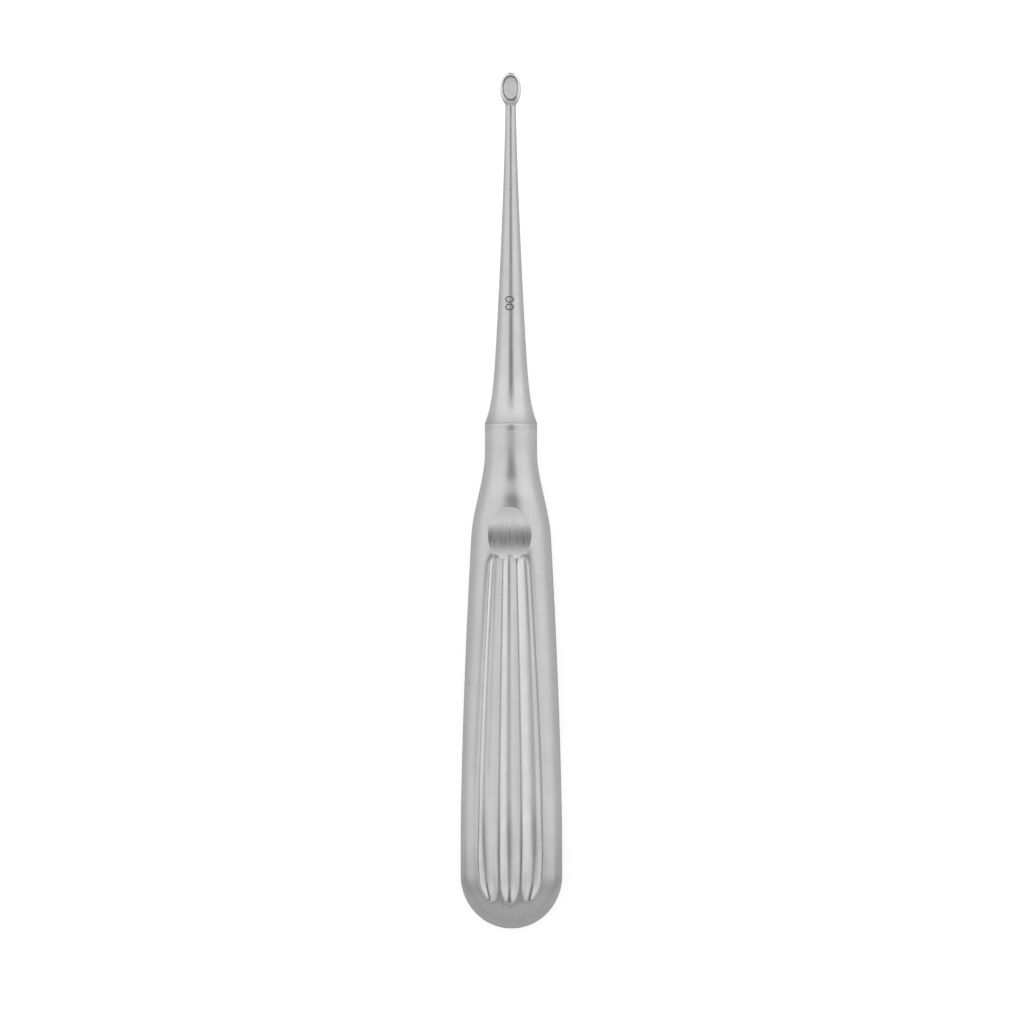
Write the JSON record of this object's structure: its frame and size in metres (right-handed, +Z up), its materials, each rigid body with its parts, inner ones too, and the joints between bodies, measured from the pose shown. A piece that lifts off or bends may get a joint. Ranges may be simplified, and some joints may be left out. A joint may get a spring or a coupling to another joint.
{
  "type": "bone curette",
  "caption": "Slim steel bone curette: flat fluted grip with a thumb rest, round neck, long tapering shaft and a small oval spoon with a sharp rim.",
  "frame": {"origin": "middle of the box's base, on the surface that the instrument lies on", "axes": "+Y along the instrument from the butt to the cup, +Z up out of the cup's hollow and the thumb rest, +X to the right of both"},
  "size_m": [0.0202, 0.1704, 0.012],
  "materials": {
    "handle_steel": "satin, with a fine brushed thumb rest",
    "shaft_steel": "satin"
  },
  "bodies": {
    "root": {"handle": "handle_steel", "shaft": "shaft_steel"}
  },
  "joints": []
}
